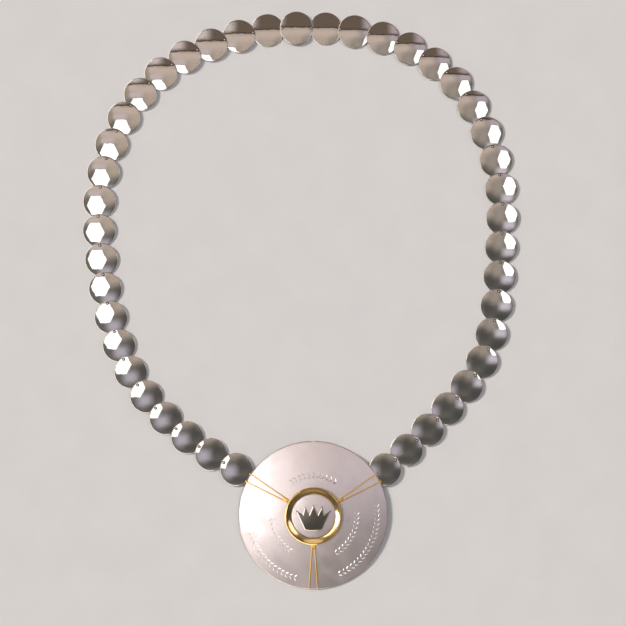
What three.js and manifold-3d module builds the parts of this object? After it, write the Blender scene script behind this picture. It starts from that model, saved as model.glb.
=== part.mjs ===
// Guild chain: domed silver discs riveted rim over rim into a loop that slips over the head,
// with a large round pendant at its foot. Millimetres, +Z up. The chain lies face up on z = 0,
// its top disc towards +Y and its pendant towards -Y.
import * as THREE from 'three';
import { mergeVertices } from 'three/addons/utils/BufferGeometryUtils.js';
import Module from 'manifold-3d';

const wasm = await Module();
wasm.setup();

// Clearance between pieces that touch
const gap = 0.3;

// Vertices closer than this are one
const weldDistance = 1e-4;

// Chain discs: thin sheet pressed into a shallow dome
const discRadius = 12.5;
const discSheet = 0.7;
const discRise = 1.0;
const discSides = 16;
const discsPerSide = 21;

// Rivets: a post on the lower end of each disc goes up through a hole in the next one
const rivetReach = 11.05;
const rivetRadius = 0.4;
const rivetHoleRadius = 0.75;
const rivetHeadRadius = 0.95;
const rivetHeadBase = 2.78;
const rivetHeadHeight = 0.5;
const rivetShoulderRadius = 0.66;
const rivetShoulderHeight = 0.38;
const rivetSides = 6;
const holeSides = 8;

// Pendant plate: a shallow dome with a flat seat in the middle and a saw cut in its rim
const plateCentre = new THREE.Vector2(10.2, -161.7);
const plateRadius = 56.4;
const plateSheet = 1.0;
const plateRise = 4.4;
const plateSides = 48;
const seatRadius = 21.9;
const rimCutWidth = 1.1;
const rimCutDepth = 2.4;

// Collar: a ring whose top dips inwards to the centre disc
const collarOuter = 21.8;
const collarInner = 16.9;
const collarCrest = 20.9;
const collarHeight = 2.7;
const collarShoulder = 2.2;
const collarDip = 0.7;
const collarSides = 40;

// Centre disc and the crown that stands on it
const centreRadius = 16.6;
const centreEdge = 1.3;
const centreRise = 0.9;
const centreSides = 32;
const crownSheet = 0.8;

// Half of the crown's outline, from the middle spike to the foot
const crownOutline = [
  { across: 0, up: 8.9 },
  { across: 3.3, up: 1.1 },
  { across: 6.5, up: 7.7 },
  { across: 8.1, up: 1.1 },
  { across: 13.4, up: 4.6 },
  { across: 6.6, up: -10.4 },
];
const crownFootSag = 0.7;
const crownFootSegments = 4;

// Gilt wires: three hairpins, a third of a turn apart, from the collar to the rim
const wireRadius = 0.45;
const wireSides = 6;
const wireStart = 19.3;
const wireLegSteps = 6;
const wireSpreadAtCollar = 0.75;
const wireSpreadAtRim = 3.2;
const wireRimStop = 55.6;
const wireBend = 1.0;
const wireBendSteps = 3;
const wireDrop = 57.5;
const wireAngles = { left: 150, right: 30, bottom: -90 };

// How far the last disc of each side is lifted by the wire that runs under it
const lastDiscLift = 0.88;

// Points at which a route is tried for the place of the next rivet
const routeSamples = 20000;

// Ways that the rivets follow down each side, from beside the top disc to the pendant
const rivetRoutes = {
  left: [
    { x: -13.6, y: 207.0 },
    { x: -46.2, y: 201.2 },
    { x: -87.9, y: 185.2 },
    { x: -122.0, y: 156.4 },
    { x: -143.4, y: 118.0 },
    { x: -152.3, y: 74.6 },
    { x: -150.2, y: 30.7 },
    { x: -143.2, y: -12.5 },
    { x: -128.8, y: -53.4 },
    { x: -101.5, y: -89.0 },
    { x: -66.7, y: -116.3 },
    { x: -30.0, y: -136.5 },
  ],
  right: [
    { x: 8.4, y: 207.0 },
    { x: 40.9, y: 204.9 },
    { x: 83.3, y: 192.1 },
    { x: 118.9, y: 165.5 },
    { x: 142.4, y: 126.1 },
    { x: 152.8, y: 84.5 },
    { x: 152.2, y: 41.3 },
    { x: 149.2, y: -1.9 },
    { x: 139.4, y: -44.3 },
    { x: 113.4, y: -79.4 },
    { x: 81.1, y: -112.2 },
    { x: 50.0, y: -139.5 },
  ],
};

const polishedSilver = { color: 0xb8b0a6, roughness: 0.12, metalness: 1 };
const satinSilver = { color: 0xd6d0d0, roughness: 0.42, metalness: 1 };
const gilt = { color: 0xc99a4a, roughness: 0.18, metalness: 1 };
const darkSilver = { color: 0x5c5348, roughness: 0.2, metalness: 1 };

// Turn a closed geometry into a solid that can be joined and cut
function toSolid(geometry) {
  const bare = geometry.clone();
  bare.deleteAttribute('normal');
  bare.deleteAttribute('uv');
  const merged = mergeVertices(bare, weldDistance);
  const corners = merged.index.array;
  const triVerts = [];
  for (let i = 0; i < corners.length; i += 3) {
    const [a, b, c] = corners.slice(i, i + 3);
    // The poles of a turned shape hold triangles with two equal corners
    if (a !== b && b !== c && c !== a) triVerts.push(a, b, c);
  }
  const vertProperties = new Float32Array(merged.attributes.position.array);
  const mesh = new wasm.Mesh({ numProp: 3, vertProperties, triVerts: new Uint32Array(triVerts) });
  return new wasm.Manifold(mesh);
}

function toPiece(name, solid, finish) {
  const cut = solid.getMesh();
  const geometry = new THREE.BufferGeometry();
  geometry.setAttribute('position', new THREE.BufferAttribute(cut.vertProperties, 3));
  geometry.setIndex(new THREE.BufferAttribute(cut.triVerts, 1));
  geometry.computeVertexNormals();
  const piece = new THREE.Mesh(geometry, new THREE.MeshStandardMaterial(finish));
  piece.name = name;
  return piece;
}

// A shape turned round an upright axis at x, from a profile of [radius, height] pairs
function turned(profile, sides, x = 0) {
  const points = profile.map(([radius, height]) => new THREE.Vector2(radius, height));
  const geometry = new THREE.LatheGeometry(points, sides);
  geometry.rotateX(Math.PI / 2);
  geometry.rotateZ(Math.PI / 2);
  geometry.translate(x, 0, 0);
  return toSolid(geometry);
}

function postAt(x, y, radius, bottom, top, sides) {
  const geometry = new THREE.CylinderGeometry(radius, radius, top - bottom, sides);
  geometry.rotateX(Math.PI / 2);
  geometry.translate(x, y, (bottom + top) / 2);
  return toSolid(geometry);
}

// Height of a dome above its rim
function domeAt(radius, rimRadius, rise) {
  return rise * (1 - (radius / rimRadius) ** 2);
}

// Chain discs

function discShell() {
  const half = discRadius / 2;
  const halfRise = domeAt(half, discRadius, discRise);
  const profile = [
    [0, discRise],
    [half, halfRise],
    [discRadius, 0],
    [discRadius, discSheet],
    [half, halfRise + discSheet],
    [0, discRise + discSheet],
  ];
  return turned(profile, discSides);
}

// A rivet with a low rounded head, its foot sunk into the disc that carries it
function rivetAt(x) {
  const foot = discSheet / 2;
  const post = postAt(x, 0, rivetRadius, foot, rivetHeadBase + rivetShoulderHeight, rivetSides);
  const headProfile = [
    [0, rivetHeadBase],
    [rivetHeadRadius, rivetHeadBase],
    [rivetShoulderRadius, rivetHeadBase + rivetShoulderHeight],
    [0, rivetHeadBase + rivetHeadHeight],
  ];
  return post.add(turned(headProfile, rivetSides, x));
}

function holeAt(x, y, radius) {
  return postAt(x, y, radius, -discSheet, discRise + 2 * discSheet, holeSides);
}

function discPiece(name, place, { rivets = [], holes = [] }) {
  let solid = discShell();
  for (const x of rivets) solid = solid.add(rivetAt(x));
  for (const hole of holes) solid = solid.subtract(holeAt(hole.x, hole.y, hole.radius));
  const piece = toPiece(name, solid, polishedSilver);
  piece.position.copy(place.position);
  piece.quaternion.copy(place.quaternion);
  return piece;
}

// Points along a route, each the same straight distance from the last
function rivetPoints(route, count) {
  const way = new THREE.CatmullRomCurve3(route.map(({ x, y }) => new THREE.Vector3(x, y, 0)));
  const stops = [way.getPoint(0)];
  for (const point of way.getPoints(routeSamples)) {
    const last = stops[stops.length - 1];
    if (stops.length < count && point.distanceTo(last) >= 2 * rivetReach) stops.push(point);
  }
  return stops;
}

// Where a disc lies: its upper end leans on the disc before it and its lower end on the floor
function discPlace(from, to, sinTilt, lift) {
  const place = new THREE.Object3D();
  place.rotation.order = 'ZYX';
  place.rotation.set(0, Math.asin(sinTilt), Math.atan2(to.y - from.y, to.x - from.x));
  place.position.copy(from).lerp(to, 0.5);
  place.position.z = lift + discRadius * sinTilt;
  place.updateMatrixWorld();
  return place;
}

const rimOverlap = 2 * (discRadius - rivetReach);
const overlapHeight = discSheet + domeAt(discRadius - rimOverlap, discRadius, discRise) + gap;

function sidePlaces(side) {
  const stops = rivetPoints(rivetRoutes[side], discsPerSide + 1);
  const places = [];
  let sinTilt = 0;
  for (let i = 0; i < discsPerSide; i += 1) {
    const lift = i === discsPerSide - 1 ? lastDiscLift : 0;
    if (i > 0) sinTilt = (overlapHeight + rimOverlap * sinTilt - lift) / (2 * discRadius);
    places.push(discPlace(stops[i], stops[i + 1], sinTilt, lift));
  }
  return places;
}

const places = { left: sidePlaces('left'), right: sidePlaces('right') };

// Pendant: its lower rim is on the floor and its upper rim lies over the last disc of each side

const lastPlaces = Object.values(places).map((run) => run[run.length - 1]);

// Sine of the lean that lets the rim of the plate clear the disc under it
function sinPlateLean(place) {
  const away = new THREE.Vector2(place.position.x, place.position.y).sub(plateCentre);
  const rim = away.setLength(plateRadius).add(plateCentre);
  const under = place.worldToLocal(new THREE.Vector3(rim.x, rim.y, place.position.z));
  under.z = discSheet + domeAt(Math.hypot(under.x, under.y), discRadius, discRise) + gap;
  const lever = plateRadius + rim.y - plateCentre.y;
  return place.localToWorld(under).z / lever;
}

const sinLean = Math.max(...lastPlaces.map(sinPlateLean));
const pendant = new THREE.Group();
pendant.position.set(plateCentre.x, plateCentre.y, plateRadius * sinLean);
pendant.rotation.x = Math.asin(sinLean);
pendant.updateMatrixWorld();

function plateUnder(radius) {
  return domeAt(Math.max(radius, seatRadius), plateRadius, plateRise);
}

const seatTop = plateUnder(0) + plateSheet;
const seated = seatTop + gap;

function plateSolid() {
  const third = (plateRadius - seatRadius) / 3;
  const rings = [0, seatRadius, seatRadius + third, seatRadius + 2 * third, plateRadius];
  const under = rings.map((radius) => [radius, plateUnder(radius)]);
  const over = rings.map((radius) => [radius, plateUnder(radius) + plateSheet]).reverse();
  const saw = new THREE.BoxGeometry(rimCutWidth, 2 * rimCutDepth, 4 * plateSheet);
  saw.translate(0, plateRadius, plateSheet / 2);
  return turned([...under, ...over], plateSides).subtract(toSolid(saw));
}

function collarSolid() {
  const profile = [
    [collarInner, 0],
    [collarOuter, 0],
    [collarOuter, collarShoulder],
    [collarCrest, collarHeight],
    [collarInner, collarHeight - collarDip],
    [collarInner, 0],
  ];
  let solid = turned(profile, collarSides);
  // A notch in the foot takes the inner ends of each pair of wires
  const reach = wireSpreadAtCollar + wireRadius + gap;
  const notchHeight = 2 * (2 * wireRadius + gap);
  for (const angle of Object.values(wireAngles)) {
    const notch = new THREE.BoxGeometry(collarOuter, 2 * reach, notchHeight);
    notch.translate(wireStart - reach + collarOuter / 2, 0, 0);
    notch.rotateZ(THREE.MathUtils.degToRad(angle));
    solid = solid.subtract(toSolid(notch));
  }
  return solid;
}

function centreTop(radius) {
  return centreEdge + domeAt(radius, centreRadius, centreRise);
}

function centreSolid() {
  const half = centreRadius / 2;
  const profile = [
    [0, 0],
    [centreRadius, 0],
    [centreRadius, centreEdge],
    [half, centreTop(half)],
    [0, centreTop(0)],
  ];
  return turned(profile, centreSides);
}

function crownShape() {
  const right = crownOutline.map(({ across, up }) => new THREE.Vector2(across, up));
  const left = right.slice(1, -1).reverse();
  const foot = right[right.length - 1];
  const shape = new THREE.Shape(right);
  shape.quadraticCurveTo(0, foot.y - 2 * crownFootSag, -foot.x, foot.y);
  for (const { x, y } of left) shape.lineTo(-x, y);
  shape.closePath();
  return shape;
}

// The crown is cut from a sheet that follows the dome of the centre disc
function crownSolid() {
  const rings = [0, centreRadius / 2, centreRadius];
  const under = rings.map((radius) => [radius, centreTop(radius) + gap]);
  const over = rings.map((radius) => [radius, centreTop(radius) + gap + crownSheet]).reverse();
  const depth = 2 * centreTop(0) + crownSheet;
  const options = { depth, bevelEnabled: false, curveSegments: crownFootSegments };
  const prism = new THREE.ExtrudeGeometry(crownShape(), options);
  return turned([...under, ...over], centreSides).intersect(toSolid(prism));
}

// Wires

// A path with its own stations, close together in bends and far apart between them
class StationPath extends THREE.Curve {
  constructor(stations) {
    super();
    this.stations = stations;
  }

  stationAt(u) {
    return Math.round(u * (this.stations.length - 1));
  }

  getPointAt(u, target = new THREE.Vector3()) {
    return target.copy(this.stations[this.stationAt(u)]);
  }

  getTangentAt(u, target = new THREE.Vector3()) {
    const i = this.stationAt(u);
    const here = this.stations[i];
    const arrive = here.clone().sub(this.stations[i - 1] ?? here).normalize();
    const leave = (this.stations[i + 1] ?? here).clone().sub(here).normalize();
    return target.copy(arrive).add(leave).normalize();
  }
}

function quarterTurn(steps) {
  return Array.from({ length: steps + 1 }, (_, i) => (i / steps) * (Math.PI / 2));
}

// One leg of a hairpin over the plate, from the collar out to the rim, on the side of its sign
function wireLeg(sign) {
  const stations = [];
  for (let i = 0; i <= wireLegSteps; i += 1) {
    const share = i / wireLegSteps;
    const out = THREE.MathUtils.lerp(wireStart, wireRimStop, share);
    const aside = sign * THREE.MathUtils.lerp(wireSpreadAtCollar, wireSpreadAtRim, share);
    const top = plateUnder(Math.hypot(out, aside)) + plateSheet;
    stations.push(new THREE.Vector3(out, aside, top + gap + wireRadius));
  }
  return stations;
}

// Height of the wire where it runs under the last disc, in the leaning frame of the pendant
const dropAlongLean = wireDrop * Math.sin(THREE.MathUtils.degToRad(wireAngles.right));
const wireLow = wireRadius + gap / 2 - (plateRadius + dropAlongLean) * sinLean;

// From the collar over the rim, down through the last disc and half way along under it
function wireOverRim(sign) {
  const stations = wireLeg(sign);
  const rimBendLevel = plateSheet + gap + wireRadius - wireBend;
  for (const turn of quarterTurn(wireBendSteps).slice(1)) {
    const out = wireDrop - wireBend + wireBend * Math.sin(turn);
    stations.push(new THREE.Vector3(out, sign * wireSpreadAtRim, rimBendLevel + wireBend * Math.cos(turn)));
  }
  for (const turn of quarterTurn(wireBendSteps)) {
    const aside = sign * (wireSpreadAtRim - wireBend + wireBend * Math.cos(turn));
    stations.push(new THREE.Vector3(wireDrop, aside, wireLow + wireBend - wireBend * Math.sin(turn)));
  }
  return stations;
}

// Both legs from the rim, joined by a half turn inside the collar
function wireToRim() {
  const level = seated + wireRadius;
  const bend = [];
  for (const turn of quarterTurn(wireBendSteps).slice(1)) {
    const out = wireStart - wireSpreadAtCollar * Math.sin(turn);
    bend.push(new THREE.Vector3(out, wireSpreadAtCollar * Math.cos(turn), level));
  }
  const back = bend.slice(0, -1).map(({ x, y, z }) => new THREE.Vector3(x, -y, z)).reverse();
  return [...wireLeg(1).reverse(), ...bend, ...back, ...wireLeg(-1)];
}

function wirePiece(side) {
  const section = new THREE.Shape();
  for (let i = 0; i < wireSides; i += 1) {
    const turn = (i / wireSides) * 2 * Math.PI;
    const [x, y] = [wireRadius * Math.cos(turn), wireRadius * Math.sin(turn)];
    if (i === 0) section.moveTo(x, y);
    else section.lineTo(x, y);
  }
  const overRim = [...wireOverRim(1), ...wireOverRim(-1).reverse()];
  const stations = side === 'bottom' ? wireToRim() : overRim;
  const extrudePath = new StationPath(stations);
  const wire = new THREE.ExtrudeGeometry(section, { steps: stations.length - 1, extrudePath });
  const piece = toPiece(`wire_${side}`, toSolid(wire), gilt);
  piece.rotation.z = THREE.MathUtils.degToRad(wireAngles[side]);
  return piece;
}

// Holes that the wire of one side needs in the last disc there
function wireHoles(side, place) {
  return [1, -1].map((sign) => {
    const point = new THREE.Vector3(wireDrop, sign * wireSpreadAtRim, wireLow + wireBend);
    point.applyAxisAngle(new THREE.Vector3(0, 0, 1), THREE.MathUtils.degToRad(wireAngles[side]));
    const { x, y } = place.worldToLocal(pendant.localToWorld(point));
    return { x, y, radius: wireRadius + gap };
  });
}

// Assembly

const chain = new THREE.Group();

function addDiscs(side) {
  places[side].forEach((place, i) => {
    const name = `disc_${side}_${String(i + 1).padStart(2, '0')}`;
    const upperHole = { x: -rivetReach, y: 0, radius: rivetHoleRadius };
    const fixings = { rivets: [rivetReach], holes: [upperHole] };
    if (i === 0) {
      fixings.rivets = [-rivetReach, rivetReach];
      fixings.holes = [];
    }
    if (i === discsPerSide - 1) {
      fixings.rivets = [];
      fixings.holes = [upperHole, ...wireHoles(side, place)];
    }
    chain.add(discPiece(name, place, fixings));
  });
}

// The top disc is level and lies over the first disc of each side
const topFrom = new THREE.Vector3(rivetRoutes.left[0].x, rivetRoutes.left[0].y, 0);
const topTo = new THREE.Vector3(rivetRoutes.right[0].x, rivetRoutes.right[0].y, 0);
const topHoles = [-rivetReach, rivetReach].map((x) => ({ x, y: 0, radius: rivetHoleRadius }));
chain.add(discPiece('disc_top', discPlace(topFrom, topTo, 0, overlapHeight), { holes: topHoles }));
addDiscs('left');
addDiscs('right');

function addToPendant(name, solid, finish, height) {
  const piece = toPiece(name, solid, finish);
  piece.position.z = height;
  pendant.add(piece);
}

addToPendant('plate', plateSolid(), satinSilver, 0);
addToPendant('collar', collarSolid(), gilt, seated);
addToPendant('centre_disc', centreSolid(), satinSilver, seated);
addToPendant('crown', crownSolid(), darkSilver, seated);
for (const side of Object.keys(wireAngles)) pendant.add(wirePiece(side));
chain.add(pendant);

// The origin is at the middle of the chain's outline, on the surface that it lies on
const outline = new THREE.Box3().setFromObject(chain, true);
const middle = outline.getCenter(new THREE.Vector3());
chain.position.set(-middle.x, -middle.y, -outline.min.z);
chain.updateMatrixWorld();

export default chain;
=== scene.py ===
# %% [markdown]
# # A chain of domed silver discs with a round pendant
#
# The object is a ceremonial chain that lies face up on a table: 43 polished discs, riveted
# rim over rim, and a large satin pendant with a gilt collar, a raised crown and gilt wires.
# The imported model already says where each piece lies. This lesson reads those places and
# gives every piece its smooth form and its finish. All local sizes are in millimetres.

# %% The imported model
import math

import bmesh
import bpy
import numpy as np
from mathutils import Matrix, Vector
from mathutils.geometry import delaunay_2d_cdt


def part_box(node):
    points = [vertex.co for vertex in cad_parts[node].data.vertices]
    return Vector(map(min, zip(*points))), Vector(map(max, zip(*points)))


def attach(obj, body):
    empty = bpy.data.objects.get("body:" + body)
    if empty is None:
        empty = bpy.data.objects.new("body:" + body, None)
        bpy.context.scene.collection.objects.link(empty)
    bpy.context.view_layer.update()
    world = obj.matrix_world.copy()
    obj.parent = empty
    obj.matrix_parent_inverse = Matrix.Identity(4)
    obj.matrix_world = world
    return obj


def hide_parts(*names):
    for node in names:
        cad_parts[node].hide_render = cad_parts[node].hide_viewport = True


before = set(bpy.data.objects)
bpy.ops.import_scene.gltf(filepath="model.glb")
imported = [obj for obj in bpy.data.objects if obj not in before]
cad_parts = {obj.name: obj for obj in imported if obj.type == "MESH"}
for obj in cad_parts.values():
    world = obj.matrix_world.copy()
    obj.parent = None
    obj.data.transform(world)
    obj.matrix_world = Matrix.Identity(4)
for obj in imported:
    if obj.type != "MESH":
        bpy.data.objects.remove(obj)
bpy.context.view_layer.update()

MM = 0.001
print("nodes in the model:", len(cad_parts))

# %% [markdown]
# ## Profiles and turning
#
# Nearly every piece here is round, so a silversmith would turn or press it, and Blender can
# spin it from a profile. A profile could be typed point by point, but a short list of corners
# is easier to read. Each corner is (radius, height, ease). The ease is how far back along both
# edges a small curve starts, because real metal has no perfectly sharp edge.

# %% Spin a profile into a round piece
EASE_STEPS = 4


def eased(corners):
    """The profile's points, with a short curve in place of each corner that has an ease."""
    points = []
    for i, (radius, height, ease) in enumerate(corners):
        corner = Vector((radius, height))
        if not ease:
            points.append(corner)
            continue
        before = Vector(corners[i - 1][:2])
        after = Vector(corners[(i + 1) % len(corners)][:2])
        start = corner + (before - corner).normalized() * ease
        end = corner + (after - corner).normalized() * ease
        for step in range(EASE_STEPS + 1):
            t = step / EASE_STEPS
            points.append(start * (1 - t) ** 2 + corner * 2 * t * (1 - t) + end * t**2)
    return points


def turned(bm, corners, segments, place=None, closed=False):
    """Spins a profile round the local z axis and returns the new vertices."""
    place = place or Matrix()
    turns = [2 * math.pi * i / segments for i in range(segments)]
    rings = []
    for radius, height in eased(corners):
        around = turns if radius > 1e-6 else [0]
        spots = [(radius * math.cos(t), radius * math.sin(t), height) for t in around]
        rings.append([bm.verts.new(place @ Vector(spot)) for spot in spots])
    followers = rings[1:] + rings[:1] if closed else rings[1:]
    for one, two in zip(rings, followers):
        for i in range(segments):
            j = (i + 1) % segments
            face = one[i % len(one)], one[j % len(one)], two[j % len(two)], two[i % len(two)]
            # A ring on the axis is one point, which a face takes only once
            bm.faces.new(dict.fromkeys(face))
    return sum(rings, [])


def domed(rim_radius, rise, start, stop, count, lift=0.0):
    """Corners along a shallow dome, at even steps of radius, with no ease."""
    radii = np.linspace(start, stop, count)
    return [(r, lift + rise * (1 - (r / rim_radius) ** 2), 0) for r in radii]


stub = bmesh.new()
turned(stub, [(0, 0, 0), (2, 0, 0.2), (2, 1, 0.2), (0, 1, 0)], 24)
print("a test stub has", len(stub.verts), "vertices")
stub.free()

# %% [markdown]
# ## Colours and nodes
#
# Colours are written as the hex values that a colour picker shows. Those are sRGB, and the
# shader calculates with linear light, so one function turns one into the other. Materials are
# built from nodes, and one more function adds any node with its settings and links.

# %% Colour and node helpers


def linear(code, alpha=1.0):
    """An sRGB hex colour such as #c8a050 as the linear values a shader socket takes."""
    parts = [int(code[i : i + 2], 16) / 255 for i in (1, 3, 5)]
    light = [p / 12.92 if p <= 0.04045 else ((p + 0.055) / 1.055) ** 2.4 for p in parts]
    return (*light, alpha)


def add_node(tree, kind, inputs=None, **settings):
    """Adds a node. An input is a value to set or the output socket to link from."""
    node = tree.nodes.new(kind)
    for key, value in settings.items():
        setattr(node, key, value)
    for key, value in (inputs or {}).items():
        if isinstance(value, bpy.types.NodeSocket):
            tree.links.new(value, node.inputs[key])
        else:
            node.inputs[key].default_value = value
    return node


def new_material(name):
    """An empty node material, its Principled shader already on the output."""
    material = bpy.data.materials.new(name)
    material.use_nodes = True
    tree = material.node_tree
    tree.nodes.clear()
    shader = add_node(tree, "ShaderNodeBsdfPrincipled", {"Metallic": 1.0})
    add_node(tree, "ShaderNodeOutputMaterial", {"Surface": shader.outputs["BSDF"]})
    return material, tree, shader


def per_mm(size):
    """The texture scale at which one cell of a pattern is this many millimetres wide."""
    return 1 / (size * MM)


print("mid grey #808080 is", round(linear("#808080")[0], 3), "in linear light")

# %% [markdown]
# ## Polished silver
#
# The discs are sterling silver, pressed into domes and buffed to a mirror. A mirror has almost
# no colour of its own, so the eye gets the room from it: lamps as crisp white shapes, and dark
# or beige walls in between. Buffing leaves a very slight swell in the sheet and hairline
# swirls, and a thin brown tarnish stays near rims and rivets, where the cloth does not reach.
# A painted shine could copy one view, but a real mirror finish also holds from the side.

# %% Polished silver, buffed
SWELL_MM = 5.0
HAIRLINE_MM = 0.35  # Real hairlines are near 0.02 mm. They are drawn coarser so that they show.
TARNISH_MM = 1.3

polished_silver, tree, shader = new_material("polished_silver_buffed")
place = add_node(tree, "ShaderNodeTexCoord").outputs["Object"]
rim = add_node(tree, "ShaderNodeAttribute", attribute_name="rim").outputs["Fac"]
spots = add_node(
    tree, "ShaderNodeTexNoise",
    {"Vector": place, "Scale": per_mm(TARNISH_MM), "Detail": 3.0, "Roughness": 0.6},
)
spot_level = add_node(
    tree, "ShaderNodeMapRange",
    {"Value": spots.outputs["Fac"], "From Min": 0.60, "From Max": 0.72},
)
near_rim = add_node(
    tree, "ShaderNodeMapRange", {"Value": rim, "From Min": 0.55, "From Max": 1.0, "To Max": 0.8}
)
tarnish = add_node(
    tree, "ShaderNodeMath",
    {0: spot_level.outputs["Result"], 1: near_rim.outputs["Result"]}, operation="MULTIPLY",
)
colour = add_node(
    tree, "ShaderNodeMix",
    {"Factor": tarnish.outputs["Value"], 6: linear("#f1efec"), 7: linear("#8a6f52")},
    data_type="RGBA",
)
dull = add_node(
    tree, "ShaderNodeMapRange",
    {"Value": tarnish.outputs["Value"], "To Min": 0.05, "To Max": 0.32},
)
swell = add_node(
    tree, "ShaderNodeTexNoise", {"Vector": place, "Scale": per_mm(SWELL_MM), "Detail": 1.0}
)
hairline = add_node(
    tree, "ShaderNodeTexNoise", {"Vector": place, "Scale": per_mm(HAIRLINE_MM), "Detail": 4.0}
)
swell_bump = add_node(
    tree, "ShaderNodeBump",
    {"Height": swell.outputs["Fac"], "Strength": 1.0, "Distance": 0.03 * MM},
)
hairline_bump = add_node(
    tree, "ShaderNodeBump",
    {
        "Height": hairline.outputs["Fac"], "Strength": 1.0, "Distance": 0.0012 * MM,
        "Normal": swell_bump.outputs["Normal"],
    },
)
tree.links.new(colour.outputs[2], shader.inputs["Base Color"])
tree.links.new(dull.outputs["Result"], shader.inputs["Roughness"])
tree.links.new(hairline_bump.outputs["Normal"], shader.inputs["Normal"])
print("polished silver has", len(tree.nodes), "nodes")

# %% [markdown]
# ## Satin silver
#
# The plate and the centre disc are the same metal with another surface: rubbed with a fine
# abrasive, so they glow broadly where the discs flash. The eye gets soft gradients, a fine
# sandy grain, faint clouds from uneven rubbing, and an edge that handling has polished again.

# %% Satin silver, rubbed with fine grit
GRIT_MM = 0.55  # The real grit is near 0.1 mm. It is drawn coarser so that it shows.
CLOUD_MM = 11.0

satin_silver, tree, shader = new_material("satin_silver_rubbed")
place = add_node(tree, "ShaderNodeTexCoord").outputs["Object"]
rim = add_node(tree, "ShaderNodeAttribute", attribute_name="rim").outputs["Fac"]
grit = add_node(
    tree, "ShaderNodeTexNoise",
    {"Vector": place, "Scale": per_mm(GRIT_MM), "Detail": 5.0, "Roughness": 0.65},
)
cloud = add_node(
    tree, "ShaderNodeTexNoise", {"Vector": place, "Scale": per_mm(CLOUD_MM), "Detail": 4.0}
)
colour = add_node(
    tree, "ShaderNodeMix",
    {"Factor": cloud.outputs["Fac"], 6: linear("#e3dadc"), 7: linear("#cfc4c1")},
    data_type="RGBA",
)
rubbed = add_node(
    tree, "ShaderNodeMapRange",
    {
        "Value": cloud.outputs["Fac"], "From Min": 0.3, "From Max": 0.7,
        "To Min": 0.35, "To Max": 0.47,
    },
)
handled = add_node(
    tree, "ShaderNodeMapRange",
    {"Value": rim, "From Min": 0.985, "From Max": 1.0, "To Min": 0.0, "To Max": 0.22},
)
rough = add_node(
    tree, "ShaderNodeMath",
    {0: rubbed.outputs["Result"], 1: handled.outputs["Result"]}, operation="SUBTRACT",
)
grit_bump = add_node(
    tree, "ShaderNodeBump",
    {"Height": grit.outputs["Fac"], "Strength": 1.0, "Distance": 0.012 * MM},
)
tree.links.new(colour.outputs[2], shader.inputs["Base Color"])
tree.links.new(rough.outputs["Value"], shader.inputs["Roughness"])
tree.links.new(grit_bump.outputs["Normal"], shader.inputs["Normal"])
print("satin silver has", len(tree.nodes), "nodes")

# %% [markdown]
# ## Gilt silver and burnished silver
#
# The collar and the wires are gilt: silver with a thin skin of gold. Gold colours what it
# reflects, so it is yellow in the light and olive in the dark. The collar is buffed like the
# discs. The wire keeps the dull skin of the drawplate that it was pulled through, so it glows
# along its whole length. Two settings of one recipe give both, so it is written as a loop.
# The crown is burnished, rubbed with a hard steel tool, which gives a dark, drawn mirror.

# %% Gilt silver, buffed and drawn
GILT_WEAR_MM = 2.2

gilt_finishes = {
    "gilt_silver_buffed": (0.06, 0.13, 0.006, "#f2d59c", "#e6bf76"),
    "gilt_wire_drawn": (0.26, 0.38, 0.012, "#f2c56e", "#e3ad4e"),
}
gilt = {}
for name, (low, high, depth, fresh, worn_colour) in gilt_finishes.items():
    gilt[name], tree, shader = new_material(name)
    place = add_node(tree, "ShaderNodeTexCoord").outputs["Object"]
    worn = add_node(
        tree, "ShaderNodeTexNoise",
        {"Vector": place, "Scale": per_mm(GILT_WEAR_MM), "Detail": 4.0},
    )
    colour = add_node(
        tree, "ShaderNodeMix",
        {"Factor": worn.outputs["Fac"], 6: linear(fresh), 7: linear(worn_colour)},
        data_type="RGBA",
    )
    rough = add_node(
        tree, "ShaderNodeMapRange", {"Value": worn.outputs["Fac"], "To Min": low, "To Max": high}
    )
    worn_bump = add_node(
        tree, "ShaderNodeBump",
        {"Height": worn.outputs["Fac"], "Strength": 1.0, "Distance": depth * MM},
    )
    tree.links.new(colour.outputs[2], shader.inputs["Base Color"])
    tree.links.new(rough.outputs["Result"], shader.inputs["Roughness"])
    tree.links.new(worn_bump.outputs["Normal"], shader.inputs["Normal"])
print("gilt finishes:", ", ".join(gilt))

# %% Burnished silver
BURNISH_MM = 0.6  # A burnisher's real strokes are near 0.1 mm. They are drawn coarser.

burnished_silver, tree, shader = new_material("burnished_silver")
place = add_node(tree, "ShaderNodeTexCoord").outputs["Object"]
stroke_place = add_node(tree, "ShaderNodeMapping", {"Vector": place, "Scale": (1, 0.12, 1)})
stroke = add_node(
    tree, "ShaderNodeTexNoise",
    {"Vector": stroke_place.outputs["Vector"], "Scale": per_mm(BURNISH_MM), "Detail": 3.0},
)
colour = add_node(
    tree, "ShaderNodeMix",
    {"Factor": stroke.outputs["Fac"], 6: linear("#d6cfc6"), 7: linear("#b9afa3")},
    data_type="RGBA",
)
rough = add_node(
    tree, "ShaderNodeMapRange", {"Value": stroke.outputs["Fac"], "To Min": 0.08, "To Max": 0.2}
)
tree.links.new(colour.outputs[2], shader.inputs["Base Color"])
tree.links.new(rough.outputs["Result"], shader.inputs["Roughness"])
print("burnished silver has", len(tree.nodes), "nodes")

# %% [markdown]
# ## Bright cuts and painted shade round the rivets
#
# An engraver's tool leaves a bright, slightly streaky facet, softer than a buffed mirror. Round
# each rivet head the hole and the gap under the head lie in shade, and that shade is painted
# here: a thin dark sheet, mottled brown-black, dull and with no mirror. The eye reads the thin
# dark ring as the edge of the rivet.

# %% Bright-cut silver, and painted shade round the rivets
CUT_STREAK_MM = 0.4
HOLE_SHADE_MOTTLE_MM = 0.5

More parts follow.
